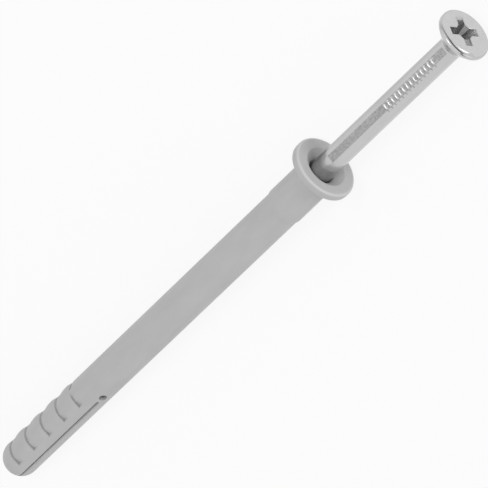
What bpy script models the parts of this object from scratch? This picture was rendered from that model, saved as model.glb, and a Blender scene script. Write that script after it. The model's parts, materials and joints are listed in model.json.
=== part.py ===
# Hammer fixing: an expansion sleeve with a collar, and the nail screw started in its bore.
# Both pieces are turned round one axis. It runs from the sleeve's tip (-X end) to the screw's head,
# and leans a little, because the fixing lies on its tip and on its collar's rim.

import math

import bmesh
import bpy
from mathutils import Matrix, Vector

MM = 0.001

# Facets of the round shapes
SLEEVE_SEGMENTS = 28
SCREW_SEGMENTS = 48
HOLE_SEGMENTS = 16
DOME_RINGS = 6
EDGE_RINGS = 3

# Sleeve: lengths along the axis are measured from the end of the tip
SLEEVE_LENGTH = 111.8 * MM
TIP_DIAMETER = 7.75 * MM
BARREL_DIAMETER = 8.0 * MM
NECK_DIAMETER = 8.44 * MM
NECK_LENGTH = 14.2 * MM
NECK_TAPER = 1.0 * MM
COLLAR_DIAMETER = 14.2 * MM
COLLAR_THICKNESS = 1.8 * MM
COLLAR_EDGE_RADIUS = 0.5 * MM
MOUTH_DIAMETER = 9.2 * MM

# Expansion zone: two legs, parted by one slit, each with a row of barbs that is broader on the upper leg
SLIT_WIDTH = 0.35 * MM
SLIT_LENGTH = 30.4 * MM
PIN_HOLE_DIAMETER = 1.7 * MM
PIN_HOLE_WEB = 0.65 * MM       # left between the slit's end and the hole
BARB_COUNT = 5
BARB_PITCH = 5.4 * MM
FIRST_STEP_FROM_TIP = 5.15 * MM
BARB_FOOT_DEPTH = 0.22 * MM    # under the barrel, at the foot of a step
BARB_CROWN_STANDS = 0.22 * MM  # above the barrel
BARB_LIP_DEPTH = 0.08 * MM     # under the barrel, on the edge of a step
BARB_STEP_LENGTH = 0.1 * MM
BARB_CROWN = 0.65              # place of the crown, as a share of the pitch
BARB_RINGS = (0.0, 0.12, 0.27, 0.45, 0.65, 0.83, 1.0)
UPPER_HALF_ANGLE = math.radians(60.0)  # of the upper leg's barbs, to each side of its middle
LOWER_HALF_ANGLE = math.radians(33.0)
BARB_EDGE_SHARE = 0.85         # height beside a barb's ends, as a share of that on the leg's middle

# Nail screw: lengths along the axis are measured from its striking face
SHANK_DIAMETER = 5.1 * MM
HEAD_DIAMETER = 11.7 * MM
HEAD_RIM = 0.65 * MM
HEAD_CHAMFER = 0.4 * MM
POINT_LENGTH = 7.0 * MM
POINT_BLUNT_DIAMETER = 0.5 * MM

# Gripping strip: a shallow flat along the shank with a row of crosswise ridges
STRIP_DEPTH = 0.13 * MM
STRIP_FROM_FACE = 4.9 * MM
STRIP_LENGTH = 52.0 * MM
RIDGE_COUNT = 14
RIDGE_PITCH = 1.27 * MM
FIRST_RIDGE_FROM_FACE = 8.8 * MM
RIDGE_WIDTH = 1.25 * MM
RIDGE_BASE = 0.62 * MM
RIDGE_CREST = 0.22 * MM
RIDGE_STANDS = 0.06 * MM       # above the shank's round

# Cross recess: four wings with chamfered roots, narrowing downwards
RECESS_DIAMETER = 6.9 * MM
RECESS_WING_WIDTH = 1.7 * MM
RECESS_ROOT_DIAMETER = 3.3 * MM
RECESS_DEPTH = 3.4 * MM
RECESS_FLOOR_DIAMETER = 1.9 * MM
RECESS_WING_DEPTH = 2.6 * MM
RECESS_WING_TAPER = 0.62       # size at the wings' feet, as a share of that on the face

# How the two go together
SCREW_STANDS = 48.3 * MM       # striking face above the collar, as sold
BORE_CLEARANCE = 0.3 * MM      # radial, round the shank and its point
SEAT_CLEARANCE = 0.3 * MM      # between the head's cone and the funnel, screw driven home
POINT_HOME_FROM_TIP = 6.1 * MM # where the point stops, screw driven home
CUT_MARGIN = 1.0 * MM          # by which a cutter reaches past what it cuts
JOIN_DEPTH = 0.15 * MM         # by which a ridge is rooted in the shank

# Turn about the axis, from straight up towards -Y
FACET = 2.0 * math.pi / SLEEVE_SEGMENTS
FIRST_COLUMN = math.pi         # straight down: the sleeve lies on one column of its corners
SLIT_TURN = math.radians(45.0)
STRIP_TURN = SLIT_TURN - math.radians(54.0)
RECESS_TURN = SLIT_TURN + math.radians(10.0)

# Radii and places that follow
TIP_RADIUS = TIP_DIAMETER / 2.0
BARREL_RADIUS = BARREL_DIAMETER / 2.0
NECK_RADIUS = NECK_DIAMETER / 2.0
COLLAR_RADIUS = COLLAR_DIAMETER / 2.0
MOUTH_RADIUS = MOUTH_DIAMETER / 2.0
SHANK_RADIUS = SHANK_DIAMETER / 2.0
HEAD_RADIUS = HEAD_DIAMETER / 2.0
BORE_RADIUS = SHANK_RADIUS + BORE_CLEARANCE
PIN_HOLE_FROM_TIP = SLIT_LENGTH + PIN_HOLE_WEB + PIN_HOLE_DIAMETER / 2.0
COLLAR_UNDERSIDE = SLEEVE_LENGTH - COLLAR_THICKNESS
NECK_START = SLEEVE_LENGTH - NECK_LENGTH
FACE_AT_REST = SLEEVE_LENGTH + SCREW_STANDS
# The head's cone and the funnel stand at 45 degrees, so along the axis their gap is sqrt(2) times as long.
SEAT_GAP_ALONG = SEAT_CLEARANCE * math.sqrt(2.0)
FACE_DRIVEN_HOME = SLEEVE_LENGTH + HEAD_RIM + HEAD_RADIUS - MOUTH_RADIUS + SEAT_GAP_ALONG
SCREW_LENGTH = FACE_DRIVEN_HOME - POINT_HOME_FROM_TIP


def around(angle):
    """Unit vector across the axis, turned by angle from straight up towards -Y."""
    return Vector((0.0, -math.sin(angle), math.cos(angle)))


def material(name, colour, roughness, metallic):
    """Principled material with one colour."""
    made = bpy.data.materials.new(name)
    made.use_nodes = True
    shader = made.node_tree.nodes["Principled BSDF"]
    shader.inputs["Base Color"].default_value = (*colour, 1.0)
    shader.inputs["Roughness"].default_value = roughness
    shader.inputs["Metallic"].default_value = metallic
    return made


def shade(mesh):
    """Smooth shading that keeps the hard edges."""
    mesh.shade_smooth()
    mesh.set_sharp_from_angle(angle=math.radians(30.0))


def add_object(name, mesh, parent):
    """Link a mesh as a named object under its parent, with its faces pointing out."""
    shape = bmesh.new()
    shape.from_mesh(mesh)
    bmesh.ops.recalc_face_normals(shape, faces=shape.faces)
    shape.to_mesh(mesh)
    shape.free()
    shade(mesh)
    made = bpy.data.objects.new(name, mesh)
    bpy.context.scene.collection.objects.link(made)
    made.parent = parent
    return made


def skin(name, loops):
    """Closed mesh over loops of points. Its ends are flat caps, or fans where the end loop is one point."""
    shape = bmesh.new()
    rows = [[shape.verts.new(point) for point in loop] for loop in loops]
    for low, high in zip(rows, rows[1:]):
        count = max(len(low), len(high))
        for index in range(count):
            after = (index + 1) % count
            corners = [low[index % len(low)], low[after % len(low)]]
            corners += [high[after % len(high)], high[index % len(high)]]
            shape.faces.new(list(dict.fromkeys(corners)))
    for end in (rows[0], rows[-1]):
        if len(end) > 1:
            shape.faces.new(end)
    mesh = bpy.data.meshes.new(name)
    shape.to_mesh(mesh)
    shape.free()
    return mesh


def ring(along, radius, segments, first_angle):
    """Loop of points round the axis. The radius is a number, 0 for one point, or a function of the angle."""
    if radius == 0.0:
        return [Vector((along, 0.0, 0.0))]
    points = []
    for index in range(segments):
        angle = first_angle + 2.0 * math.pi * index / segments
        size = radius(angle) if callable(radius) else radius
        points.append(Vector((along, 0.0, 0.0)) + size * around(angle))
    return points


def work(target, operation, tools):
    """Cut the tools out of a target, or join them to it, one exact Boolean each, and drop the tools."""
    for mesh in tools:
        tool = add_object(mesh.name, mesh, target.parent)
        step = target.modifiers.new(mesh.name, "BOOLEAN")
        step.operation = operation
        step.solver = "EXACT"
        step.object = tool
    bpy.context.view_layer.update()
    result = bpy.data.meshes.new_from_object(target.evaluated_get(bpy.context.evaluated_depsgraph_get()))
    used = [step.object for step in target.modifiers]
    target.modifiers.clear()
    for tool in used:
        bpy.data.objects.remove(tool, do_unlink=True)
    blank = target.data
    target.data = result
    bpy.data.meshes.remove(blank)
    result.name = target.name
    shade(result)


# Sleeve

def barrel_radius(along):
    """The barrel's radius, which grows with the mould's draft from the tip to the neck."""
    start = TIP_RADIUS
    end = NECK_START - NECK_TAPER
    return TIP_RADIUS + (BARREL_RADIUS - TIP_RADIUS) * (along - start) / (end - start)


def barb_height(place, crown):
    """Height over the barrel at a place along a barb's pitch: it rises to the crown and falls to the lip."""
    if place < BARB_CROWN:
        return crown - (crown + BARB_FOOT_DEPTH) * (1.0 - place / BARB_CROWN) ** 2
    return crown - (crown + BARB_LIP_DEPTH) * ((place - BARB_CROWN) / (1.0 - BARB_CROWN)) ** 2


def barb_share(angle):
    """Share of a barb's height at an angle: full on a leg's middle, nothing beside the slit."""
    side = math.sin(angle - SLIT_TURN)
    from_leg = math.acos(min(1.0, abs(side)))
    half_angle = UPPER_HALF_ANGLE if side < 0.0 else LOWER_HALF_ANGLE
    if from_leg > half_angle - 0.5 * FACET:
        return 0.0
    return 1.0 - (1.0 - BARB_EDGE_SHARE) * (from_leg / half_angle) ** 2


def barb_ring(along, height):
    """Ring through the barbs, which stand by a height over the barrel, or under it if that is negative."""
    barrel = barrel_radius(along)
    return ring(along, lambda angle: barrel + height * barb_share(angle), SLEEVE_SEGMENTS, FIRST_COLUMN)


def sleeve_outside():
    """Rings from the end of the tip to the collar's top."""
    rings = []
    for index in range(DOME_RINGS + 1):
        turn = 0.5 * math.pi * index / DOME_RINGS
        along = TIP_RADIUS * (1.0 - math.cos(turn))
        rings.append(ring(along, TIP_RADIUS * math.sin(turn), SLEEVE_SEGMENTS, FIRST_COLUMN))
    rings.append(barb_ring(FIRST_STEP_FROM_TIP, -BARB_LIP_DEPTH))
    for index in range(BARB_COUNT):
        step = FIRST_STEP_FROM_TIP + BARB_PITCH * index
        is_last = index == BARB_COUNT - 1
        crown = 0.0 if is_last else BARB_CROWN_STANDS
        for place in BARB_RINGS:
            if is_last and place > BARB_CROWN:
                continue
            along = step + BARB_STEP_LENGTH + place * (BARB_PITCH - BARB_STEP_LENGTH)
            rings.append(barb_ring(along, barb_height(place, crown)))
    plain = [(NECK_START - NECK_TAPER, BARREL_RADIUS), (NECK_START, NECK_RADIUS),
             (COLLAR_UNDERSIDE, NECK_RADIUS), (COLLAR_UNDERSIDE, COLLAR_RADIUS)]
    for index in range(EDGE_RINGS + 1):
        turn = 0.5 * math.pi * index / EDGE_RINGS
        plain.append((SLEEVE_LENGTH - COLLAR_EDGE_RADIUS * (1.0 - math.sin(turn)),
                      COLLAR_RADIUS - COLLAR_EDGE_RADIUS * (1.0 - math.cos(turn))))
    rings += [ring(along, radius, SLEEVE_SEGMENTS, FIRST_COLUMN) for along, radius in plain]
    return rings


def sleeve_inside():
    """Rings from the mouth down its funnel and the bore, which ends in a cone round the driven point."""
    funnel_foot = SLEEVE_LENGTH - (MOUTH_RADIUS - BORE_RADIUS)
    cone_top = POINT_HOME_FROM_TIP + POINT_LENGTH
    cone_end = POINT_HOME_FROM_TIP - BORE_CLEARANCE
    end_radius = POINT_BLUNT_DIAMETER / 2.0 + BORE_CLEARANCE
    bore = [(SLEEVE_LENGTH, MOUTH_RADIUS), (funnel_foot, BORE_RADIUS), (cone_top, BORE_RADIUS),
            (cone_end, end_radius), (cone_end, 0.0)]
    return [ring(along, radius, SLEEVE_SEGMENTS, FIRST_COLUMN) for along, radius in bore]


def box_loops(low, high, across, width, bottom, top):
    """Two loops of a box along the axis: it lies from bottom to top in the direction across, width wide."""
    side = across.cross(Vector((1.0, 0.0, 0.0))) * width / 2.0
    corners = [across * bottom - side, across * bottom + side, across * top + side, across * top - side]
    return [[Vector((along, 0.0, 0.0)) + corner for corner in corners] for along in (low, high)]


def build_sleeve(parent, finish):
    """The moulded sleeve, with the slit that parts its legs and the pin hole beyond the slit."""
    sleeve = add_object("expansion_sleeve", skin("sleeve_blank", sleeve_outside() + sleeve_inside()), parent)
    across = around(SLIT_TURN)
    reach = BARREL_RADIUS + CUT_MARGIN
    slit = skin("slit_cutter", box_loops(-CUT_MARGIN, SLIT_LENGTH, across, SLIT_WIDTH, -reach, reach))
    hole_side = across.cross(Vector((1.0, 0.0, 0.0)))
    loops = []
    for height in (-reach, reach):
        centre = Vector((PIN_HOLE_FROM_TIP, 0.0, 0.0)) + across * height
        turns = [2.0 * math.pi * index / HOLE_SEGMENTS for index in range(HOLE_SEGMENTS)]
        spokes = [Vector((math.cos(turn), 0.0, 0.0)) + hole_side * math.sin(turn) for turn in turns]
        loops.append([centre + spoke * PIN_HOLE_DIAMETER / 2.0 for spoke in spokes])
    work(sleeve, "DIFFERENCE", [slit, skin("pin_hole_cutter", loops)])
    sleeve.data.materials.append(finish)


# Nail screw

def screw_body():
    """The turned blank: striking face, rim, 45 degree cone, shank and point."""
    cone_length = HEAD_RADIUS - SHANK_RADIUS
    outline = [(0.0, 0.0), (0.0, HEAD_RADIUS - HEAD_CHAMFER),
               (HEAD_CHAMFER, HEAD_RADIUS), (HEAD_RIM, HEAD_RADIUS),
               (HEAD_RIM + cone_length, SHANK_RADIUS), (SCREW_LENGTH - POINT_LENGTH, SHANK_RADIUS),
               (SCREW_LENGTH, POINT_BLUNT_DIAMETER / 2.0), (SCREW_LENGTH, 0.0)]
    return skin("screw_blank", [ring(-down, radius, SCREW_SEGMENTS, STRIP_TURN) for down, radius in outline])


def recess_loop(down, tip_radius, half_width, root_radius):
    """Outline of the cross recess at one depth: a wing each quarter turn, with a chamfer between wings."""
    points = []
    for quarter in range(4):
        out = around(RECESS_TURN + 0.5 * math.pi * quarter)
        side = around(RECESS_TURN + 0.5 * math.pi * (quarter + 1))
        for along_wing, across_wing in ((root_radius, -half_width), (tip_radius, -half_width),
                                        (tip_radius, half_width), (root_radius, half_width)):
            points.append(Vector((-down, 0.0, 0.0)) + out * along_wing + side * across_wing)
    return points


def recess_mesh():
    """The recess as a solid: straight above the face, tapering to the wings' feet, then to the floor."""
    tip = RECESS_DIAMETER / 2.0
    wing = RECESS_WING_WIDTH / 2.0
    root = RECESS_ROOT_DIAMETER / 2.0
    foot = RECESS_WING_TAPER
    floor = RECESS_FLOOR_DIAMETER / RECESS_DIAMETER
    loops = [recess_loop(-CUT_MARGIN, tip, wing, root), recess_loop(0.0, tip, wing, root),
             recess_loop(RECESS_WING_DEPTH, tip * foot, wing * foot, root * foot),
             recess_loop(RECESS_DEPTH, tip * floor, wing * floor, root * floor)]
    return skin("recess_cutter", loops)


def ridges_mesh():
    """The row of ridges, each a bar across the strip that narrows to its crest."""
    out = around(STRIP_TURN)
    side = out.cross(Vector((1.0, 0.0, 0.0))) * RIDGE_WIDTH / 2.0
    root = SHANK_RADIUS - STRIP_DEPTH - JOIN_DEPTH
    crest = SHANK_RADIUS + RIDGE_STANDS
    shape = bmesh.new()
    for index in range(RIDGE_COUNT):
        centre = Vector((-FIRST_RIDGE_FROM_FACE - RIDGE_PITCH * index, 0.0, 0.0))
        rows = []
        for height, half in ((root, RIDGE_BASE / 2.0), (crest, RIDGE_CREST / 2.0)):
            along = Vector((half, 0.0, 0.0))
            middle = centre + out * height
            rows.append([shape.verts.new(middle + corner) for corner in
                         (-along - side, along - side, along + side, -along + side)])
        for corner in range(4):
            after = (corner + 1) % 4
            shape.faces.new((rows[0][corner], rows[0][after], rows[1][after], rows[1][corner]))
        shape.faces.new(rows[0])
        shape.faces.new(rows[1])
    mesh = bpy.data.meshes.new("ridges")
    shape.to_mesh(mesh)
    shape.free()
    return mesh


def build_screw(parent, finish):
    """The nail screw: blank, cross recess, gripping strip and ridges."""
    screw = add_object("nail_screw", screw_body(), parent)
    strip = box_loops(-STRIP_FROM_FACE - STRIP_LENGTH, -STRIP_FROM_FACE, around(STRIP_TURN), SHANK_DIAMETER,
                      SHANK_RADIUS - STRIP_DEPTH, SHANK_RADIUS + CUT_MARGIN)
    work(screw, "DIFFERENCE", [recess_mesh(), skin("strip_cutter", strip)])
    work(screw, "UNION", [ridges_mesh()])
    screw.data.materials.append(finish)


# Resting place

def lean():
    """Angle of the axis above the floor, when the collar's rim and the tip's dome both touch it."""
    angles = []
    for index in range(1, DOME_RINGS + 1):
        turn = 0.5 * math.pi * index / DOME_RINGS
        drop = COLLAR_RADIUS - TIP_RADIUS * math.sin(turn)
        run = COLLAR_UNDERSIDE - TIP_RADIUS * (1.0 - math.cos(turn))
        angles.append(math.atan(drop / run))
    return min(angles)


def resting_place():
    """Where the end of the tip lies, so that the part's box stands centred on the world's origin."""
    turned = Matrix.Rotation(-lean(), 4, "Y")
    sleeve = [turned @ point for loop in sleeve_outside() for point in loop]
    face = ring(FACE_AT_REST, HEAD_RADIUS - HEAD_CHAMFER, SCREW_SEGMENTS, STRIP_TURN)
    edge = ring(FACE_AT_REST - HEAD_CHAMFER, HEAD_RADIUS, SCREW_SEGMENTS, STRIP_TURN)
    head = [turned @ point for point in face + edge]
    centre = (min(point.x for point in sleeve) + max(point.x for point in head)) / 2.0
    return Matrix.Translation((-centre, 0.0, -min(point.z for point in sleeve))) @ turned


def main():
    for old in list(bpy.data.objects):
        bpy.data.objects.remove(old, do_unlink=True)
    nylon = material("grey nylon", (0.47, 0.47, 0.47), 0.45, 0.0)
    zinc = material("bright zinc plated steel", (0.78, 0.78, 0.79), 0.28, 1.0)
    tip = bpy.data.objects.new("tip_end", None)
    bpy.context.scene.collection.objects.link(tip)
    tip.matrix_world = resting_place()
    face = bpy.data.objects.new("striking_face", None)
    bpy.context.scene.collection.objects.link(face)
    face.parent = tip
    face.location = (FACE_AT_REST, 0.0, 0.0)
    build_sleeve(tip, nylon)
    build_screw(face, zinc)


main()
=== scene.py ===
# Looks of the hammer fixing: a smooth moulded sleeve, its threaded nail screw, their materials
# and the studio. Places along the fixing's axis are measured from the end of the sleeve's tip,
# towards the screw's head.

import json
import math

import bmesh
import bpy
from mathutils import Matrix, Vector


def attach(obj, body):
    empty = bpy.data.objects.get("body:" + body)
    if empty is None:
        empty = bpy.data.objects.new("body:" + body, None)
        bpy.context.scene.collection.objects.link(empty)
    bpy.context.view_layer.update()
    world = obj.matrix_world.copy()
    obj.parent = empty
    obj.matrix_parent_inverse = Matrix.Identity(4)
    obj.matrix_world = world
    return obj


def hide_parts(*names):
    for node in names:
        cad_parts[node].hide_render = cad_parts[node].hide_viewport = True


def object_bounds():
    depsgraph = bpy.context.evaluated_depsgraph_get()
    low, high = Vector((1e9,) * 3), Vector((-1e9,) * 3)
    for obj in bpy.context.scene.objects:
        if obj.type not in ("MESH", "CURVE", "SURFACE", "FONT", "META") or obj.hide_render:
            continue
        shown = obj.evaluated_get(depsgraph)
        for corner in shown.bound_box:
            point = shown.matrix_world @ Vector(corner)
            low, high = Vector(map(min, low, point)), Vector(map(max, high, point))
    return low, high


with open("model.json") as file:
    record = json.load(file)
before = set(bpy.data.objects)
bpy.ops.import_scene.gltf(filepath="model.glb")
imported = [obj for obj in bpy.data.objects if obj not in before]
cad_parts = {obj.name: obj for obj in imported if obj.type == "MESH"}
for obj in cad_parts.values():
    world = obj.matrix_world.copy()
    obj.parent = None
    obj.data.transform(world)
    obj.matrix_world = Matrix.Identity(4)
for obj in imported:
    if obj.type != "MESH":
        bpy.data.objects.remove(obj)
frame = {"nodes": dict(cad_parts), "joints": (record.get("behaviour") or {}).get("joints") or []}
cad_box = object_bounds()

MM = 0.001
FULL_TURN = 2.0 * math.pi
QUARTER_TURN = 0.5 * math.pi
SHARP_ANGLE = math.radians(32.0)   # edges that bend by more than this stay crisp

# Sleeve. The main sizes are the CAD model's; edges and barbs are formed more finely here.
SLEEVE_LENGTH = 111.8 * MM
TIP_RADIUS = 3.875 * MM
BARREL_RADIUS = 4.0 * MM
NECK_RADIUS = 4.22 * MM
NECK_START = 97.6 * MM
NECK_TAPER = 1.0 * MM
BARREL_END = NECK_START - NECK_TAPER
COLLAR_RADIUS = 7.1 * MM
COLLAR_UNDERSIDE = 110.0 * MM
COLLAR_FILLET = 0.25 * MM      # where the neck runs into the collar
COLLAR_LOW_EDGE = 0.22 * MM    # radii of the collar's two round edges
COLLAR_TOP_EDGE = 0.55 * MM
MOUTH_RADIUS = 4.6 * MM
MOUTH_EDGE = 0.16 * MM         # radius of the edge round the funnel mouth
BORE_RADIUS = 2.85 * MM
BORE_CONE_TOP = 13.1 * MM
BORE_END = 5.8 * MM
BORE_END_RADIUS = 0.55 * MM
SLIT_WIDTH = 0.35 * MM
SLIT_LENGTH = 30.4 * MM
SLIT_END_BEVEL = 0.25 * MM     # length over which the slit's end narrows
SLIT_END_SHARE = 0.45          # of its width that is left there
SLIT_FLARE = 0.3 * MM          # how much wider it opens to each side
SLIT_FLARE_FROM = 3.6 * MM     # distances from the axis between which it does
SLIT_FLARE_TO = 4.05 * MM
PIN_HOLE_RADIUS = 0.85 * MM
PIN_HOLE_AT = 31.9 * MM
PIN_HOLE_FLARE = 0.2 * MM
PIN_HOLE_FLARE_FROM = 3.85 * MM
PIN_HOLE_FLARE_TO = 4.1 * MM

# Barbs, in rows along the middle of each leg
BARB_COUNT = 5
BARB_PITCH = 5.4 * MM
FIRST_STEP = 4.85 * MM
LAST_STEP = FIRST_STEP + BARB_PITCH * (BARB_COUNT - 1)
BARB_CROWN_STANDS = 0.2 * MM   # above the barrel
BARB_LIP_DEPTH = 0.1 * MM      # under the barrel, on the edge of a step
BARB_FOOT_DEPTH = 0.15 * MM    # under the barrel, just past the step
BARB_HOLLOW_DEPTH = 0.18 * MM  # under the barrel, where the next barb starts to rise
BARB_HOLLOW_AT = 0.1 * MM      # past the step, on the seen side
BARB_HOLLOW_SLANT = 1.6 * MM   # how much further past it on the other side
BARB_RISE = 1.9 * MM           # from the hollow to the crown
BARB_FALL = 1.25 * MM          # from the crown to the step
LAST_FOOT_LENGTH = 1.1 * MM    # past the last step, where the surface comes back to the barrel
CREASE_DEPTH = 0.33 * MM       # of the narrow groove at the step's foot
CREASE_WIDTH = 1.05 * MM       # on the leg's middle
CREASE_END_WIDTH = 0.7 * MM    # towards the slit
POCKET_DEPTH = 0.22 * MM       # extra, at the hollow's blunt end beside the slit
POCKET_LENGTH = 1.8 * MM
END_GROOVE_DEPTH = 0.2 * MM    # along that blunt end

# How far the barbs reach to each side of a leg's middle, in degrees, and how they end there
UPPER_HALF_ANGLE = 60.0
LOWER_HALF_ANGLE = 33.0
LAND_EDGE = 1.5        # before that angle, the land beside the slit is reached
HOLLOW_ENDS = 5.0      # before that angle, the hollows start to run out
CREASE_ENDS = 8.0      # and the creases
END_GROOVE_AT = 5.0    # before that angle
END_GROOVE_HALF = 3.5

# Nail screw. The main sizes are the CAD model's; the head's rim, strip, ridges and recess follow
# the photograph more closely here. Lengths are measured down from the striking face.
FACE_AT = 160.1 * MM
SCREW_LENGTH = 108.024 * MM
SHANK_RADIUS = 2.55 * MM
HEAD_RADIUS = 5.85 * MM
HEAD_RIM = 0.9 * MM
HEAD_EDGE = 0.32 * MM          # radius of its round upper edge
HEAD_CONE = HEAD_RADIUS - SHANK_RADIUS
FACE_EDGE = 4.8 * MM           # radius where the flat face ends, on the worn side
WORN_BEVEL = 0.13 * MM         # width of the bevel outside it
WORN_DEPTH = 0.1 * MM          # of the flattened step outside the bevel
POINT_LENGTH = 7.0 * MM
POINT_START = SCREW_LENGTH - POINT_LENGTH
POINT_RADIUS = 0.25 * MM
STRIP_DEPTH = 0.155 * MM
STRIP_START = 4.9 * MM
STRIP_END = STRIP_START + 39.6 * MM
STRIP_HALF = math.acos((SHANK_RADIUS - STRIP_DEPTH) / SHANK_RADIUS)
RIDGE_COUNT = 14
RIDGE_PITCH = 1.25 * MM
FIRST_RIDGE = 9.13 * MM
RIDGE_STANDS = 0.06 * MM       # above the shank
RIDGE_RUN_OUT = (0.76, 0.95)   # shares of the strip's half width between which a ridge ends
DENT_AT = STRIP_HALF + math.radians(4.0)   # the dent that each ridge's die left beside the strip
DENT_HALF = math.radians(6.0)
DENT_DEPTH = 0.05 * MM
THREAD_START = 58.0 * MM
THREAD_END = 102.0 * MM
THREAD_RUN_IN = 3.0 * MM
THREAD_RUN_OUT = 0.6 * MM
THREAD_PITCH = 2.6 * MM
THREAD_CORE = 2.2 * MM
THREAD_CREST = 2.54 * MM
THREAD_FLANK = (0.5, 0.95)     # shares of half a turn between which it rises

# Turns about the axis, from straight up towards -Y
SLIT_TURN = math.radians(45.0)
STRIP_TURN = SLIT_TURN - math.radians(55.5)
RECESS_TURN = SLIT_TURN + math.radians(10.0)
VIEW_TURN = SLIT_TURN - math.radians(44.5)   # the side that faces the camera


# The axis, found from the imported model

AXIS = -Vector(frame["joints"][0]["axis"]).normalized()
UP = (Vector((0.0, 0.0, 1.0)) - AXIS * AXIS.z).normalized()
SIDE = AXIS.cross(UP)
FACE_TOLERANCE = 0.002 * MM


def find_tip():
    """End of the sleeve's tip on the axis, from the corners of the screw's flat face."""
    corners = [vertex.co for vertex in frame["nodes"]["nail_screw"].data.vertices]
    top = max(corner.dot(AXIS) for corner in corners)
    face = [corner for corner in corners if top - corner.dot(AXIS) < FACE_TOLERANCE]
    middle = AXIS * (top - FACE_AT)
    for across in (UP, SIDE):
        reach = [corner.dot(across) for corner in face]
        middle += across * (min(reach) + max(reach)) / 2.0
    return middle


def around(angle):
    """Unit vector across the axis, turned by angle from straight up towards -Y."""
    return UP * math.cos(angle) + SIDE * math.sin(angle)


TIP = find_tip()
NEAR_SIDE = around(VIEW_TURN)
LOWER_SIDE = AXIS.cross(NEAR_SIDE).normalized()


def at(along, radius, angle):
    """Point at a place along the axis, a radius and an angle."""
    return TIP + AXIS * along + around(angle) * radius


def smooth_step(start, end, value):
    """0 up to the start, 1 from the end on, smooth between. The end may be the smaller number."""
    share = min(1.0, max(0.0, (value - start) / (end - start)))
    return share * share * (3.0 - 2.0 * share)


# Mesh helpers

def ring(along, radius, angles):
    """Loop of points round the axis, or one point for radius 0. Place and radius are numbers or
    functions of the angle."""
    if radius == 0.0:
        return [at(along, 0.0, 0.0)]
    loop = []
    for angle in angles:
        place = along(angle) if callable(along) else along
        reach = radius(angle) if callable(radius) else radius
        loop.append(at(place, reach, angle))
    return loop


def skin(name, loops):
    """Closed mesh over a list of loops. An end closes as a fan where its loop is one point, and
    otherwise as a flat cap."""
    shape = bmesh.new()
    rows = [[shape.verts.new(point) for point in loop] for loop in loops]
    for low, high in zip(rows, rows[1:]):
        count = max(len(low), len(high))
        for index in range(count):
            after = (index + 1) % count
            corners = [low[index % len(low)], low[after % len(low)]]
            corners += [high[after % len(high)], high[index % len(high)]]
            shape.faces.new(list(dict.fromkeys(corners)))
    for end in (rows[0], rows[-1]):
        if len(end) > 1:
            shape.faces.new(end)
    bmesh.ops.recalc_face_normals(shape, faces=shape.faces)
    mesh = bpy.data.meshes.new(name)
    shape.to_mesh(mesh)
    shape.free()
    return mesh


def add_object(name, data):
    made = bpy.data.objects.new(name, data)
    bpy.context.scene.collection.objects.link(made)
    return made


def cut(target, cutters):
    """Take closed meshes out of a target, and shade what is left smooth with crisp edges."""
    tools = [add_object(mesh.name, mesh) for mesh in cutters]
    for tool in tools:
        step = target.modifiers.new(tool.name, "BOOLEAN")
        step.operation = "DIFFERENCE"
        step.solver = "EXACT"
        step.object = tool
    bpy.context.view_layer.update()
    evaluated = target.evaluated_get(bpy.context.evaluated_depsgraph_get())
    result = bpy.data.meshes.new_from_object(evaluated)
    target.modifiers.clear()
    for tool in tools:
        bpy.data.objects.remove(tool, do_unlink=True)
    blank = target.data
    target.data = result
    bpy.data.meshes.remove(blank)
    result.name = target.name
    result.shade_smooth()
    result.set_sharp_from_angle(angle=SHARP_ANGLE)


def arc(centre_along, centre_radius, size, start, end, count):
    """Places and radii along a round edge. Angles are in degrees, 0 outwards, 90 to the head."""
    made = []
    for index in range(count + 1):
        turn = math.radians(start + (end - start) * index / count)
        made.append((centre_along + size * math.sin(turn), centre_radius + size * math.cos(turn)))
    return made


# Sleeve

SLEEVE_COLUMNS = 144
SLEEVE_ANGLES = [SLIT_TURN + FULL_TURN * (index + 0.5) / SLEEVE_COLUMNS
                 for index in range(SLEEVE_COLUMNS)]
TIP_ROWS = 16
PLAIN_ROWS = 14

# Rings of a barb, in millimetres: past its step, and before the first step
BARB_PLACES = (0.05, 0.12, 0.2, 0.3, 0.42, 0.55, 0.7, 0.85, 1.0, 1.15, 1.35, 1.6, 1.85, 2.1, 2.4,
               2.75, 3.1, 3.45, 3.75, 4.0, 4.2, 4.4, 4.6, 4.8, 5.0, 5.15, 5.28, 5.36, 5.4)
BEFORE_FIRST_STEP = (0.85, 0.6, 0.35, 0.15, 0.03)
LAST_FOOT_PLACES = [place for place in BARB_PLACES if place < 2.0]
PLAIN_START = LAST_STEP + 3.4 * MM


def barrel_radius(along):
    """Radius of the plain barrel, which tapers from the neck to the tip."""
    share = (along - TIP_RADIUS) / (BARREL_END - TIP_RADIUS)
    return TIP_RADIUS + (BARREL_RADIUS - TIP_RADIUS) * share


def from_leg(angle):
    """Angle in degrees from the nearer leg's middle, positive towards the slit's seen side, and
    the half angle of that leg's barbs."""
    side = math.sin(angle - SLIT_TURN)
    turned = math.degrees(math.acos(min(1.0, abs(side))))
    if math.cos(angle - SLIT_TURN) <= 0.0:
        turned = -turned
    return turned, UPPER_HALF_ANGLE if side < 0.0 else LOWER_HALF_ANGLE


def crown_height(stands, turned, half_angle):
    """Height of a barb's crown, which runs out softly, and sooner towards the seen side."""
    crown = stands * (1.0 - smooth_step(half_angle * 0.7, half_angle, abs(turned)))
    return crown * (1.0 - 0.6 * smooth_step(0.0, half_angle * 0.6, turned))


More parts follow.
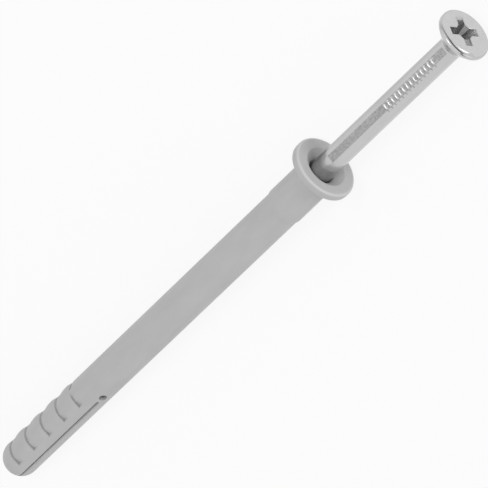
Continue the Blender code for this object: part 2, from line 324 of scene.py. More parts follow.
def barb_height(place, turned, crown):
    """Height over the barrel at a place past a step: hollow, rise to the crown, fall."""
    hollow = BARB_HOLLOW_AT + BARB_HOLLOW_SLANT * smooth_step(5.0, -40.0, turned)
    if place < hollow:
        return -BARB_FOOT_DEPTH - (BARB_HOLLOW_DEPTH - BARB_FOOT_DEPTH) * place / hollow
    if place < hollow + BARB_RISE:
        left = 1.0 - (place - hollow) / BARB_RISE
        return crown - (crown + BARB_HOLLOW_DEPTH) * left ** 2
    fall = max(0.0, (place - BARB_PITCH + BARB_FALL) / BARB_FALL)
    return crown - (crown + BARB_LIP_DEPTH) * fall ** 1.6


def last_foot_height(place, turned):
    """Height past the last step, where the surface soon comes back to the barrel. The foot is
    shallow over the leg's middle and deep towards the slit's seen side."""
    shallow = 0.6 * math.exp(-((turned + 6.0) / 14.0) ** 2)
    deep = 0.8 * smooth_step(5.0, 25.0, turned)
    left = 1.0 - smooth_step(0.0, LAST_FOOT_LENGTH, place)
    return -BARB_FOOT_DEPTH * (1.0 - shallow + deep) * left


def last_crease(turned):
    """Share of the crease past the last step, which is faint over the leg's middle."""
    return 1.0 - 0.9 * smooth_step(-20.0, -6.0, turned) + 0.7 * smooth_step(0.0, 20.0, turned)


def pocket_depth(place, turned, half_angle):
    """Extra depth at a hollow's blunt end beside the slit, and of the groove along that end."""
    pocket = smooth_step(half_angle * 0.5, half_angle * 0.8, turned)
    groove = max(0.0, 1.0 - abs(turned - half_angle + END_GROOVE_AT) / END_GROOVE_HALF)
    depth = POCKET_DEPTH * pocket + END_GROOVE_DEPTH * groove
    return depth * (1.0 - smooth_step(POCKET_LENGTH * 0.4, POCKET_LENGTH, place))


def crease_depth(place, turned, half_angle):
    """Depth of the crease at a step's foot, which narrows towards the slit's seen side."""
    end_share = smooth_step(0.0, half_angle * 0.75, turned)
    width = CREASE_WIDTH + (CREASE_END_WIDTH - CREASE_WIDTH) * end_share
    depth = CREASE_DEPTH * max(0.0, 1.0 - place / width)
    fade = smooth_step(half_angle - CREASE_ENDS, half_angle - LAND_EDGE, abs(turned))
    return depth * (1.0 - fade)


def barb_ring(along, place, stands=BARB_CROWN_STANDS, past_last=False):
    """Ring through the barbs at a place past a step. The hollows end steeply at the land beside
    the slit."""
    barrel = barrel_radius(along)

    def radius(angle):
        turned, half_angle = from_leg(angle)
        crease = crease_depth(place, turned, half_angle)
        if past_last:
            height = last_foot_height(place, turned)
            crease *= last_crease(turned)
        else:
            height = barb_height(place, turned, crown_height(stands, turned, half_angle))
        height -= pocket_depth(place, turned, half_angle)
        if height < 0.0:
            fade = smooth_step(half_angle - HOLLOW_ENDS, half_angle - LAND_EDGE, abs(turned))
            height *= 1.0 - fade
        return barrel + height - crease
    return ring(along, radius, SLEEVE_ANGLES)


def barb_rings():
    rings = [barb_ring(FIRST_STEP - before * MM, BARB_PITCH - before * MM, stands=0.0)
             for before in BEFORE_FIRST_STEP]
    for index in range(BARB_COUNT - 1):
        step = FIRST_STEP + BARB_PITCH * index
        rings += [barb_ring(step + place * MM, place * MM) for place in BARB_PLACES]
    rings += [barb_ring(LAST_STEP + place * MM, place * MM, past_last=True)
              for place in LAST_FOOT_PLACES]
    return rings


def outside_outline():
    """Places and radii of the plain barrel, the neck and the collar."""
    plain_length = BARREL_END - 0.2 * MM - PLAIN_START
    places = [PLAIN_START + plain_length * index / PLAIN_ROWS for index in range(PLAIN_ROWS + 1)]
    outline = [(along, barrel_radius(along)) for along in places]
    outline += [(BARREL_END + 0.15 * MM, BARREL_RADIUS + 0.015 * MM),
                (NECK_START - 0.1 * MM, NECK_RADIUS - 0.02 * MM),
                (NECK_START + 0.15 * MM, NECK_RADIUS),
                (NECK_START + 4.0 * MM, NECK_RADIUS),
                (NECK_START + 8.0 * MM, NECK_RADIUS)]
    for turn in (0.0, 0.4, 0.8, 1.2, QUARTER_TURN):
        outline.append((COLLAR_UNDERSIDE - COLLAR_FILLET + COLLAR_FILLET * math.sin(turn),
                        NECK_RADIUS + COLLAR_FILLET * (1.0 - math.cos(turn))))
    outline.append((COLLAR_UNDERSIDE, COLLAR_RADIUS - 1.2 * MM))
    outline += arc(COLLAR_UNDERSIDE + COLLAR_LOW_EDGE, COLLAR_RADIUS - COLLAR_LOW_EDGE,
                   COLLAR_LOW_EDGE, -90.0, 0.0, 5)
    outline += arc(SLEEVE_LENGTH - COLLAR_TOP_EDGE, COLLAR_RADIUS - COLLAR_TOP_EDGE,
                   COLLAR_TOP_EDGE, 0.0, 90.0, 9)
    outline.append((SLEEVE_LENGTH, (COLLAR_RADIUS + MOUTH_RADIUS) / 2.0))
    return outline


def inside_outline():
    """Places and radii of the funnel mouth and the bore, down to its end."""
    bend = math.tan(math.radians(22.5)) * MOUTH_EDGE
    outline = arc(SLEEVE_LENGTH - MOUTH_EDGE, MOUTH_RADIUS + bend, MOUTH_EDGE, 90.0, 135.0, 3)
    funnel = MOUTH_RADIUS - BORE_RADIUS
    for share in (0.25, 0.5, 0.75, 0.95):
        outline.append((SLEEVE_LENGTH - funnel * share, MOUTH_RADIUS - funnel * share))
    places = (SLEEVE_LENGTH - funnel - 0.1 * MM, SLEEVE_LENGTH - 6.0 * MM, 60.0 * MM,
              BORE_CONE_TOP)
    outline += [(place, BORE_RADIUS) for place in places]
    return outline + [(BORE_END, BORE_END_RADIUS), (BORE_END, 0.0)]


def sleeve_mesh():
    loops = []
    for index in range(TIP_ROWS + 1):
        turn = QUARTER_TURN * index / TIP_ROWS
        loops.append(ring(TIP_RADIUS * (1.0 - math.cos(turn)), TIP_RADIUS * math.sin(turn),
                          SLEEVE_ANGLES))
    loops += barb_rings()
    loops += [ring(along, radius, SLEEVE_ANGLES)
              for along, radius in outside_outline() + inside_outline()]
    return skin("moulded_sleeve", loops)


CUTTER_REACH = 6.0 * MM   # from the axis, well past the barrel


def flared(half, flare, start, end):
    """Heights and half widths of a cutter right across the barrel, wider where it opens."""
    upper = [(start, half), (end, half + flare), (CUTTER_REACH, half + flare)]
    return [(-height, width) for height, width in reversed(upper)] + upper


def slit_cutter():
    across = around(SLIT_TURN)
    side = AXIS.cross(across)
    outline = flared(SLIT_WIDTH / 2.0, SLIT_FLARE, SLIT_FLARE_FROM, SLIT_FLARE_TO)
    corners = [across * height + side * width for height, width in outline]
    corners += [across * height - side * width for height, width in reversed(outline)]
    loops = []
    for place, share in ((-1.0 * MM, 1.0), (SLIT_LENGTH - SLIT_END_BEVEL, 1.0),
                         (SLIT_LENGTH, SLIT_END_SHARE)):
        loops.append([TIP + AXIS * place + corner - side * corner.dot(side) * (1.0 - share)
                      for corner in corners])
    return skin("slit_cutter", loops)


def pin_hole_cutter():
    across = around(SLIT_TURN)
    side = AXIS.cross(across)
    sides = 40
    rim = [AXIS * math.cos(turn) + side * math.sin(turn)
           for turn in (FULL_TURN * index / sides for index in range(sides))]
    loops = []
    for height, radius in flared(PIN_HOLE_RADIUS, PIN_HOLE_FLARE, PIN_HOLE_FLARE_FROM,
                                 PIN_HOLE_FLARE_TO):
        centre = TIP + AXIS * PIN_HOLE_AT + across * height
        loops.append([centre + out * radius for out in rim])
    return skin("pin_hole_cutter", loops)


# Nail screw

STRIP_COLUMNS = (0.1, 0.3, 0.5, 0.68, 0.78, 0.86, 0.93, 1.0)   # shares of its half width
PLAIN_COLUMNS = 92
ANGLE_TOLERANCE = 1e-6
THREAD_ROWS_IN_TURN = 12.0

# A ridge's shape along the shank: millimetres from its middle, and share of its height
RIDGE_SHAPE = ((-0.36, 0.0), (-0.27, 0.32), (-0.18, 0.72), (-0.09, 0.95), (0.0, 1.0),
               (0.09, 0.95), (0.18, 0.72), (0.27, 0.32), (0.36, 0.0))

# The cross recess, in millimetres, level by level: depth, and the wings' root and half width
RECESS_LEVELS = ((-1.0, 1.85, 1.0), (0.0, 1.85, 1.0), (0.12, 1.65, 0.85), (0.35, 1.6, 0.82),
                 (0.7, 1.5, 0.76), (1.5, 1.25, 0.62), (2.3, 0.85, 0.45), (3.0, 0.4, 0.25))
# How far each wing's tip reaches at those levels: one is worn shallow, the next has a steep
# end, the third a stepped one, and the last narrows evenly
RECESS_TIPS = ((3.5, 3.5, 3.35, 1.75, 1.55, 1.3, 0.95, 0.5),
               (3.6, 3.6, 3.4, 3.32, 3.2, 2.95, 2.65, 2.4),
               (3.6, 3.6, 3.45, 3.0, 2.85, 2.6, 2.3, 2.0),
               (3.6, 3.6, 3.45, 3.3, 2.95, 2.1, 1.15, 0.5))
RECESS_OFF = -0.4 * MM    # it is a little out of the head's middle, both ways
RECESS_REACH = 4.2 * MM   # radius that holds all of it


def screw_angles():
    """Angles of the screw's columns, close together over the gripping strip."""
    half = math.degrees(STRIP_HALF)
    strip = [-half * share for share in reversed(STRIP_COLUMNS)]
    strip += [half * share for share in STRIP_COLUMNS]
    span = 360.0 - 2.0 * half
    plain = [half + span * index / (PLAIN_COLUMNS + 1) for index in range(1, PLAIN_COLUMNS + 1)]
    return [STRIP_TURN + math.radians(turn) for turn in strip + plain]


SCREW_ANGLES = screw_angles()


def strip_radius(angle, ridge=0.0):
    """Radius of the shank across the strip, where a ridge stands by a share of its height."""
    off = math.remainder(angle - STRIP_TURN, FULL_TURN)
    if abs(off) > STRIP_HALF + ANGLE_TOLERANCE:
        dent = max(0.0, 1.0 - abs(off - DENT_AT) / DENT_HALF)
        return SHANK_RADIUS - DENT_DEPTH * dent * ridge
    flat = (SHANK_RADIUS - STRIP_DEPTH) / math.cos(off)
    ends = 1.0 - smooth_step(*RIDGE_RUN_OUT, abs(off) / STRIP_HALF)
    return flat + (SHANK_RADIUS + RIDGE_STANDS - flat) * ridge * ends


def thread_radius(down):
    """Function from an angle to the thread's radius there. The thread runs in and out softly."""
    fade = smooth_step(THREAD_START, THREAD_START + THREAD_RUN_IN, down)
    fade *= 1.0 - smooth_step(THREAD_END - THREAD_RUN_OUT, THREAD_END, down)

    def radius(angle):
        turn = (-down / THREAD_PITCH - angle / FULL_TURN) % 1.0
        crest = smooth_step(*THREAD_FLANK, abs(turn - 0.5) * 2.0)
        threaded = THREAD_CORE + (THREAD_CREST - THREAD_CORE) * crest
        return SHANK_RADIUS + (threaded - SHANK_RADIUS) * fade
    return radius


def worn_step(angle):
    """Depth of the step that the hammer left outside the face's edge, on one side only."""
    turned = math.degrees(math.remainder(angle - VIEW_TURN, FULL_TURN))
    start = smooth_step(-20.0, 5.0, turned)
    return WORN_DEPTH * start * (1.0 - smooth_step(40.0, 60.0, turned))


def screw_ring(down, radius):
    return ring(FACE_AT - down, radius, SCREW_ANGLES)


def worn_ring(down, radius):
    """Ring that lies lower by the worn step."""
    return ring(lambda angle: FACE_AT - worn_step(angle) - down, radius, SCREW_ANGLES)


def head_rings():
    rings = [screw_ring(0.0, radius) for radius in (0.0, FACE_EDGE - 0.4 * MM, FACE_EDGE)]
    rings += [worn_ring(0.0, radius) for radius in
              (FACE_EDGE + WORN_BEVEL, FACE_EDGE + 0.5 * MM, HEAD_RADIUS - HEAD_EDGE)]
    for turn in (22.0, 45.0, 67.0, 90.0):
        angle = math.radians(turn)
        rings.append(worn_ring(HEAD_EDGE * (1.0 - math.cos(angle)),
                               HEAD_RADIUS - HEAD_EDGE * (1.0 - math.sin(angle))))
    outline = [(HEAD_RIM - 0.08 * MM, HEAD_RADIUS),
               (HEAD_RIM, HEAD_RADIUS - 0.02 * MM),
               (HEAD_RIM + 0.07 * MM, HEAD_RADIUS - 0.09 * MM)]
    outline += [(HEAD_RIM + HEAD_CONE * share, HEAD_RADIUS - HEAD_CONE * share)
                for share in (0.35, 0.65, 0.88)]
    outline += [(HEAD_RIM + HEAD_CONE * 0.95, SHANK_RADIUS + 0.2 * MM),
                (HEAD_RIM + HEAD_CONE + 0.06 * MM, SHANK_RADIUS + 0.07 * MM),
                (HEAD_RIM + HEAD_CONE + 0.25 * MM, SHANK_RADIUS + 0.012 * MM),
                (STRIP_START - 0.12 * MM, SHANK_RADIUS)]
    return rings + [screw_ring(down, radius) for down, radius in outline]


def strip_rings():
    rings = [screw_ring(STRIP_START, strip_radius)]
    for index in range(RIDGE_COUNT):
        middle = FIRST_RIDGE + RIDGE_PITCH * index
        for off, ridge in RIDGE_SHAPE:
            rings.append(screw_ring(middle + off * MM, lambda angle: strip_radius(angle, ridge)))
    rings += [screw_ring(down, strip_radius)
              for down in (30.0 * MM, 35.0 * MM, 40.0 * MM, STRIP_END)]
    return rings + [screw_ring(down, SHANK_RADIUS)
                    for down in (STRIP_END + 0.9 * MM, 50.0 * MM, 55.0 * MM)]


def thread_rings():
    """The thread and the point."""
    length = THREAD_END - THREAD_START
    rows = int(length / THREAD_PITCH * THREAD_ROWS_IN_TURN)
    places = [THREAD_START + length * index / rows for index in range(rows + 1)]
    rings = [screw_ring(down, thread_radius(down)) for down in places if down < POINT_START]
    point = ((POINT_START, THREAD_CORE), (SCREW_LENGTH - 3.0 * MM, 1.1 * MM),
             (SCREW_LENGTH, POINT_RADIUS), (SCREW_LENGTH, 0.0))
    return rings + [screw_ring(down, radius) for down, radius in point]


def screw_mesh():
    return skin("threaded_nail_screw", head_rings() + strip_rings() + thread_rings())


def recess_cutter():
    """The cross recess: wings with chamfered roots, a little bevelled at the face."""
    middle = TIP + (NEAR_SIDE + LOWER_SIDE) * RECESS_OFF
    loops = []
    for (down, root, half), *tips in zip(RECESS_LEVELS, *RECESS_TIPS):
        level = middle + AXIS * (FACE_AT - down * MM)
        loop = []
        for quarter, tip in enumerate(tips):
            out = around(RECESS_TURN + QUARTER_TURN * quarter)
            side = around(RECESS_TURN + QUARTER_TURN * (quarter + 1))
            for reach, width in ((root, -half), (tip, -half), (tip, half), (root, half)):
                loop.append(level + out * (reach * MM) + side * (width * MM))
        loops.append(loop)
    return skin("recess_cutter", loops)


# Material helpers

def new_material(name):
    made = bpy.data.materials.new(name)
    made.use_nodes = True
    nodes = made.node_tree.nodes
    return made, nodes, made.node_tree.links, nodes["Principled BSDF"]


def mapped(nodes, links, scale):
    """Object coordinates in millimetres, turned so that X runs along the axis, then scaled."""
    place = nodes.new("ShaderNodeTexCoord")
    turn = nodes.new("ShaderNodeMapping")
    turn.vector_type = "POINT"
    turn.inputs["Rotation"].default_value = (0.0, math.asin(AXIS.z), 0.0)
    turn.inputs["Scale"].default_value = (1.0 / MM, 1.0 / MM, 1.0 / MM)
    links.new(place.outputs["Object"], turn.inputs["Vector"])
    stretch = nodes.new("ShaderNodeMapping")
    stretch.inputs["Scale"].default_value = scale
    links.new(turn.outputs["Vector"], stretch.inputs["Vector"])
    return stretch.outputs["Vector"]


def noise(nodes, links, scale, size, detail, roughness=0.5):
    """Soft clouds. A scale below 1 for X draws them out along the axis, as moulding and drawing
    leave them; more size makes them finer."""
    made = nodes.new("ShaderNodeTexNoise")
    made.inputs["Scale"].default_value = size
    made.inputs["Detail"].default_value = detail
    made.inputs["Roughness"].default_value = roughness
    links.new(mapped(nodes, links, scale), made.inputs["Vector"])
    return made.outputs["Fac"]


def spread(nodes, links, source, low, high, new_low, new_high):
    """The source's range from low to high, brought to a new range and held inside it."""
    made = nodes.new("ShaderNodeMapRange")
    made.inputs["From Min"].default_value = low
    made.inputs["From Max"].default_value = high
    made.inputs["To Min"].default_value = new_low
    made.inputs["To Max"].default_value = new_high
    links.new(source, made.inputs["Value"])
    return made.outputs["Result"]


def blend_colour(nodes, links, factor, first, second):
    """Mix of two colours. The first may also be another node's output."""
    made = nodes.new("ShaderNodeMix")
    made.data_type = "RGBA"
    if isinstance(first, tuple):
        made.inputs["A"].default_value = (*first, 1.0)
    else:
        links.new(first, made.inputs["A"])
    made.inputs["B"].default_value = (*second, 1.0)
    links.new(factor, made.inputs["Factor"])
    return made.outputs["Result"]


def bump(nodes, links, height, distance, normal=None):
    made = nodes.new("ShaderNodeBump")
    made.inputs["Strength"].default_value = 1.0
    made.inputs["Distance"].default_value = distance
    links.new(height, made.inputs["Height"])
    if normal is not None:
        links.new(normal, made.inputs["Normal"])
    return made.outputs["Normal"]


def maths(nodes, links, operation, first, second=None):
    """Maths on one or two values. The second may be a number."""
    made = nodes.new("ShaderNodeMath")
    made.operation = operation
    links.new(first, made.inputs[0])
    if isinstance(second, float):
        made.inputs[1].default_value = second
    elif second is not None:
        links.new(second, made.inputs[1])
    return made.outputs["Value"]


def vector_maths(nodes, links, operation, source, other=None):
    made = nodes.new("ShaderNodeVectorMath")
    made.operation = operation
    links.new(source, made.inputs[0])
    if other is not None:
        made.inputs[1].default_value = other
    return made.outputs


def product(nodes, links, first, *others):
    for other in others:
        first = maths(nodes, links, "MULTIPLY", first, other)
    return first


def from_axis(nodes, links, origin):
    """Distance along the axis from a point, and the way out from the line along the axis through
    that point, turned by a quarter."""
    place = nodes.new("ShaderNodeTexCoord").outputs["Object"]
    from_origin = vector_maths(nodes, links, "SUBTRACT", place, origin)["Vector"]
    along = vector_maths(nodes, links, "DOT_PRODUCT", from_origin, AXIS)["Value"]
    return along, vector_maths(nodes, links, "CROSS_PRODUCT", from_origin, AXIS)["Vector"]


# Painted light: masks that are 1 where a reflection or highlight is painted and 0 beside it

# painted dark reflection along one side of the shank
SHANK_REFLECTION_TURN = VIEW_TURN - math.radians(76.0)
SHANK_REFLECTION_INNER = math.cos(math.radians(12.0))   # full up to this half angle
SHANK_REFLECTION_OUTER = math.cos(math.radians(26.0))   # and gone from this one on
SHANK_REFLECTION_TOP = FACE_AT - 4.2 * MM
# painted dark reflection across the head's edge
HEAD_REFLECTION_NEAR = -3.05 * MM   # middle of its bend, towards the camera's side
HEAD_REFLECTION_LOW = 0.5 * MM      # and towards the lower side
HEAD_REFLECTION_BEND = 8.36 * MM
HEAD_REFLECTION_INNER = 0.16 * MM   # full up to this far from it
HEAD_REFLECTION_OUTER = 0.3 * MM    # and gone from here on
HEAD_REFLECTION_FADE_IN = (-6.2 * MM, -1.5 * MM)   # sideways along the line
HEAD_REFLECTION_FADE_OUT = (2.0 * MM, 3.2 * MM)
HEAD_REFLECTION_FLOOR = FACE_AT - 0.4 * MM         # it is only above this place
# radius where the painted highlight on the collar's upper edge starts
COLLAR_HIGHLIGHT_START = COLLAR_RADIUS - 0.6 * MM


def painted_shank_reflection(nodes, links):
    """A darker line painted along one side of the shank, standing in for a dark reflection."""
    along, across = from_axis(nodes, links, TIP)
    middle = around(SHANK_REFLECTION_TURN).cross(AXIS)
    share = vector_maths(nodes, links, "DOT_PRODUCT", across, middle / SHANK_RADIUS)["Value"]
    line = spread(nodes, links, share, SHANK_REFLECTION_OUTER, SHANK_REFLECTION_INNER, 0.0, 1.0)
    below = spread(nodes, links, along, SHANK_REFLECTION_TOP - 0.2 * MM, SHANK_REFLECTION_TOP, 1.0, 0.0)
    return product(nodes, links, line, below)


def painted_head_edge_reflection(nodes, links):
    """A dark line painted across the head's edge, on the side of the worn step, standing in for a
    dark reflection.
    """
    middle = TIP + NEAR_SIDE * HEAD_REFLECTION_NEAR + LOWER_SIDE * HEAD_REFLECTION_LOW
    along, across = from_axis(nodes, links, middle)
    distance = vector_maths(nodes, links, "LENGTH", across)["Value"]
    off = maths(nodes, links, "SUBTRACT", distance, HEAD_REFLECTION_BEND)
    off = maths(nodes, links, "ABSOLUTE", off)
    line = spread(nodes, links, off, HEAD_REFLECTION_INNER, HEAD_REFLECTION_OUTER, 1.0, 0.0)
    sideways = vector_maths(nodes, links, "DOT_PRODUCT", across, LOWER_SIDE.cross(AXIS))["Value"]
    start = spread(nodes, links, sideways, *HEAD_REFLECTION_FADE_IN, 0.0, 1.0)
    end = spread(nodes, links, sideways, *HEAD_REFLECTION_FADE_OUT, 1.0, 0.0)
    top = spread(nodes, links, along, HEAD_REFLECTION_FLOOR - 0.1 * MM, HEAD_REFLECTION_FLOOR, 0.0, 1.0)
    return product(nodes, links, line, start, end, top)


def collar_edge_highlight(nodes, links):
    """The collar's round upper edge, where a highlight is painted lighter into the colour."""
    along, across = from_axis(nodes, links, TIP)
    radius = vector_maths(nodes, links, "LENGTH", across)["Value"]
    high = spread(nodes, links, along, SLEEVE_LENGTH - 0.5 * MM, SLEEVE_LENGTH - 0.2 * MM,
                  0.0, 1.0)
    wide = spread(nodes, links, radius, COLLAR_HIGHLIGHT_START, COLLAR_HIGHLIGHT_START + 0.2 * MM,
                  0.0, 1.0)
    return product(nodes, links, high, wide)


# Materials

NYLON_DARK = (0.46, 0.46, 0.462)
NYLON_LIGHT = (0.495, 0.495, 0.494)
# lighter colour of the painted highlight on the collar's upper edge
NYLON_PAINTED_HIGHLIGHT = (0.57, 0.57, 0.57)

# Darkest and lightest tone and roughest and smoothest value of each zinc finish
ZINC_FINISHES = {"zinc_plated_steel": (0.53, 0.57, 0.26, 0.18),
                 # the strip's own darker finish, also painted on the recess's shallow wing as
                 # shade
                 "zinc_strip_and_painted_wing_shade": (0.28, 0.48, 0.5, 0.36),
                 "zinc_struck_face": (0.6, 0.63, 0.3, 0.22),
                 # the recess's finish is painted darker as shade inside the recess; the bevel
                 # outside the face's edge uses it too
                 "zinc_painted_shade_recess_and_bevel": (0.46, 0.56, 0.34, 0.24)}
ZINC_BLUE = 1.004   # blue against red and green
# finishes that carry the painted dark reflections, and the tone of each
FINISHES_WITH_PAINTED_REFLECTIONS = ("zinc_plated_steel", "zinc_struck_face")
PAINTED_REFLECTION_TONES = ((painted_shank_reflection, 0.47), (painted_head_edge_reflection, 0.1))


def nylon_material():
    made, nodes, links, shader = new_material("grey_nylon")
    cloud = noise(nodes, links, (0.35, 1.0, 1.0), 0.35, 3.0)
    tone = spread(nodes, links, cloud, 0.3, 0.7, 0.0, 1.0)
    colour = blend_colour(nodes, links, tone, NYLON_DARK, NYLON_LIGHT)
    # painted highlight on the collar's round upper edge
    colour = blend_colour(nodes, links, collar_edge_highlight(nodes, links), colour, NYLON_PAINTED_HIGHLIGHT)
    links.new(colour, shader.inputs["Base Color"])
    grain = noise(nodes, links, (1.0, 1.0, 1.0), 5.0, 3.0)
    links.new(spread(nodes, links, grain, 0.3, 0.7, 0.4, 0.52), shader.inputs["Roughness"])
    fine = bump(nodes, links, grain, 0.006 * MM)
    flow = noise(nodes, links, (0.25, 1.0, 1.0), 0.9, 2.0)
    links.new(bump(nodes, links, flow, 0.03 * MM, fine), shader.inputs["Normal"])
    shader.inputs["Specular IOR Level"].default_value = 0.45
    return made


def zinc_material(name):
    made, nodes, links, shader = new_material(name)
    shader.inputs["Metallic"].default_value = 1.0
    dark, light, rough, smooth = ZINC_FINISHES[name]
    if name == "zinc_strip_and_painted_wing_shade":
        cloud = noise(nodes, links, (0.8, 1.0, 1.0), 3.0, 4.0, 0.7)
        normal = bump(nodes, links, cloud, 0.05 * MM)
        polish = cloud
    else:
        cloud = noise(nodes, links, (0.2, 1.0, 1.0), 0.5, 3.0)
        polish = noise(nodes, links, (0.06, 2.2, 2.2), 2.0, 3.0, 0.6)
        normal = bump(nodes, links, polish, 0.004 * MM)
    tone = spread(nodes, links, cloud, 0.32, 0.68, 0.0, 1.0)
    colour = blend_colour(nodes, links, tone, (dark, dark, dark * ZINC_BLUE),
                          (light, light, light * ZINC_BLUE))
    # painted dark reflections darken the colour along their lines
    if name in FINISHES_WITH_PAINTED_REFLECTIONS:
        for mark, grey in PAINTED_REFLECTION_TONES:
            colour = blend_colour(nodes, links, mark(nodes, links), colour, (grey, grey, grey))
    links.new(colour, shader.inputs["Base Color"])
    links.new(spread(nodes, links, polish, 0.3, 0.7, rough, smooth), shader.inputs["Roughness"])
    links.new(normal, shader.inputs["Normal"])
    return made


def in_strip(down, radius, off):
    """On the gripping strip. The angle off is from its middle."""
    return (STRIP_START - 0.05 * MM < down < STRIP_END and abs(off) < STRIP_HALF
            and radius < SHANK_RADIUS - 0.01 * MM)


def in_dent(down, off):
    """On a ridge's end or in the small dent beside it."""
    past_first = down - FIRST_RIDGE
    in_row = -0.3 * MM < past_first < RIDGE_PITCH * (RIDGE_COUNT - 1) + 0.3 * MM
    near_ridge = abs(math.remainder(past_first, RIDGE_PITCH)) < 0.22 * MM
    return in_row and near_ridge and STRIP_HALF * 0.7 < off < DENT_AT + DENT_HALF


def in_worn_wing(place, down, radius):
    """In the recess's shallow, worn wing, whose floor is painted darker as shade."""
    return (0.1 * MM < down < 1.0 * MM and radius < RECESS_REACH
            and place.dot(LOWER_SIDE) > 0.6 * MM and place.dot(NEAR_SIDE) > 0.0)


def finish_at(face):
    """Name of the zinc finish that a face of the screw has, by its place."""
    place = face.center - TIP
    down = FACE_AT - place.dot(AXIS)
    radius = math.hypot(place.dot(SIDE), place.dot(UP))
    turn = math.atan2(place.dot(SIDE), place.dot(UP))
    off = math.remainder(turn - STRIP_TURN, FULL_TURN)
    # the strip, the ridges' ends and dents, and the shallow wing get the strip's darker finish;
    # on the wing it is painted shade
    if in_strip(down, radius, off) or in_dent(down, off) or in_worn_wing(place, down, radius):
        return "zinc_strip_and_painted_wing_shade"
    if down < 0.01 * MM and radius < HEAD_RADIUS - HEAD_EDGE:
        return "zinc_struck_face"
    # the recess gets a darker finish as painted shade, and the bevel gets the same finish
    in_bevel = FACE_EDGE < radius < FACE_EDGE + WORN_BEVEL and 0.001 * MM < down < WORN_DEPTH
    in_recess = (0.1 * MM < down < 3.3 * MM and radius < RECESS_REACH
                 and face.normal.dot(AXIS) > -0.5)
    return "zinc_painted_shade_recess_and_bevel" if in_bevel or in_recess else "zinc_plated_steel"


# The two pieces

sleeve = add_object("moulded_sleeve", sleeve_mesh())
cut(sleeve, [slit_cutter(), pin_hole_cutter()])
sleeve.data.materials.clear()
sleeve.data.materials.append(nylon_material())
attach(sleeve, "sleeve")
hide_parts("expansion_sleeve")

screw = add_object("threaded_nail_screw", screw_mesh())
cut(screw, [recess_cutter()])
screw.data.materials.clear()
for finish in ZINC_FINISHES:
    screw.data.materials.append(zinc_material(finish))
finish_places = {finish: index for index, finish in enumerate(ZINC_FINISHES)}
for face in screw.data.polygons:
    face.material_index = finish_places[finish_at(face)]
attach(screw, "screw")
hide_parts("nail_screw")

for node, piece in (("expansion_sleeve", sleeve), ("nail_screw", screw)):
    cad = frame["nodes"][node]
    cad.data.materials.clear()
    cad.data.materials.append(piece.data.materials[0])


# Camera, at the photograph's angle: the plane through it and the axis lies 44.5 degrees from
# the slit. It stands far off with a long lens, because the photograph shows next to no
# perspective, but no farther: other views stand back by the same lens, and have to stay
# inside their own clip distance.

ALONG_SHARE = 0.611       # of the direction to the camera
ACROSS_SHARE = 0.792
AXIS_TO_RIGHT = 0.72315   # how far the axis and its lower side point to the picture's right
LOWER_TO_RIGHT = 0.6907
CAMERA_DISTANCE = 4.3
FRAME_WIDTH = 98.4 * MM
TARGET_ALONG = 83.2 * MM
TARGET_ABOVE = 0.124 * MM

towards = (AXIS * ALONG_SHARE + NEAR_SIDE * ACROSS_SHARE).normalized()
along_image = (AXIS - towards * AXIS.dot(towards)).normalized()
right = (along_image * AXIS_TO_RIGHT + LOWER_SIDE * LOWER_TO_RIGHT).normalized()
above = towards.cross(right).normalized()
target = TIP + AXIS * TARGET_ALONG - LOWER_SIDE * TARGET_ABOVE

lens = bpy.data.cameras.new("camera")
lens.lens = lens.sensor_width * CAMERA_DISTANCE / FRAME_WIDTH
lens.clip_start = 0.1
lens.clip_end = 100.0
camera = add_object("camera", lens)
turned_to_view = Matrix((right, above, towards)).transposed().to_4x4()
camera.matrix_world = Matrix.Translation(target + towards * CAMERA_DISTANCE) @ turned_to_view
bpy.context.scene.camera = camera


# Floor, world and lamps

FLOOR_HALF = 2.5
FLOOR_GAP = 0.05 * MM
FLOOR_GREY = 0.88
FLOOR_WHITE = 0.86   # share of plain white that the eye sees on the floor, the rest is shaded
SKY_LIGHT = 0.72
SKY_SEEN = 1.0
LAMP_DISTANCE = 1.2


def seen_by_eye(nodes, links):
    """1 for what the camera, a mirror or clear glass sees, else 0."""
    path = nodes.new("ShaderNodeLightPath").outputs
    seen = maths(nodes, links, "MAXIMUM", path["Is Camera Ray"], path["Is Glossy Ray"])
    return maths(nodes, links, "MAXIMUM", seen, path["Is Transmission Ray"])


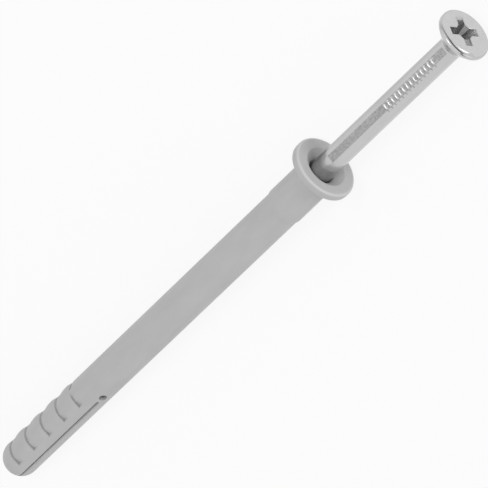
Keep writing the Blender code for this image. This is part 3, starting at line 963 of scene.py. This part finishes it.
def paper_material():
    """White for the eye, with the object's shadow on it."""
    made, nodes, links, shader = new_material("white_paper")
    nodes.remove(shader)
    diffuse = nodes.new("ShaderNodeBsdfDiffuse")
    diffuse.inputs["Color"].default_value = (FLOOR_GREY, FLOOR_GREY, FLOOR_GREY, 1.0)
    glow = nodes.new("ShaderNodeEmission")
    both = nodes.new("ShaderNodeMixShader")
    white = spread(nodes, links, seen_by_eye(nodes, links), 0.0, 1.0, 0.0, FLOOR_WHITE)
    links.new(white, both.inputs["Fac"])
    links.new(diffuse.outputs["BSDF"], both.inputs[1])
    links.new(glow.outputs["Emission"], both.inputs[2])
    links.new(both.outputs["Shader"], nodes["Material Output"].inputs["Surface"])
    return made


def lamp(name, direction, size, power):
    """Soft square lamp that shines on the middle of the picture."""
    light = bpy.data.lights.new(name, "AREA")
    light.shape = "SQUARE"
    light.size = size
    light.energy = power
    made = add_object(name, light)
    made.location = target + direction.normalized() * LAMP_DISTANCE
    made.rotation_mode = "QUATERNION"
    made.rotation_quaternion = direction.to_track_quat("Z", "Y")
    made.visible_camera = False


corners = [(x * FLOOR_HALF, y * FLOOR_HALF, 0.0) for x, y in ((-1, -1), (1, -1), (1, 1), (-1, 1))]
floor_mesh = bpy.data.meshes.new("floor")
floor_mesh.from_pydata(corners, [], [(0, 1, 2, 3)])
floor_mesh.materials.append(paper_material())
floor = add_object("floor", floor_mesh)
floor.location.z = cad_box[0].z - FLOOR_GAP

world = bpy.data.worlds.new("studio")
world.use_nodes = True
bpy.context.scene.world = world
nodes, links = world.node_tree.nodes, world.node_tree.links
sky = nodes["Background"]
sky.inputs["Color"].default_value = (1.0, 1.0, 1.0, 1.0)
links.new(spread(nodes, links, seen_by_eye(nodes, links), 0.0, 1.0, SKY_LIGHT, SKY_SEEN),
          sky.inputs["Strength"])

lamp("key", AXIS * 0.85 + NEAR_SIDE * 0.18 + LOWER_SIDE * 0.48, 0.4, 2.7)
lamp("top", AXIS * 0.37 + NEAR_SIDE * 0.885 - LOWER_SIDE * 0.29, 0.42, 2.6)

bpy.context.scene.view_settings.view_transform = "Standard"
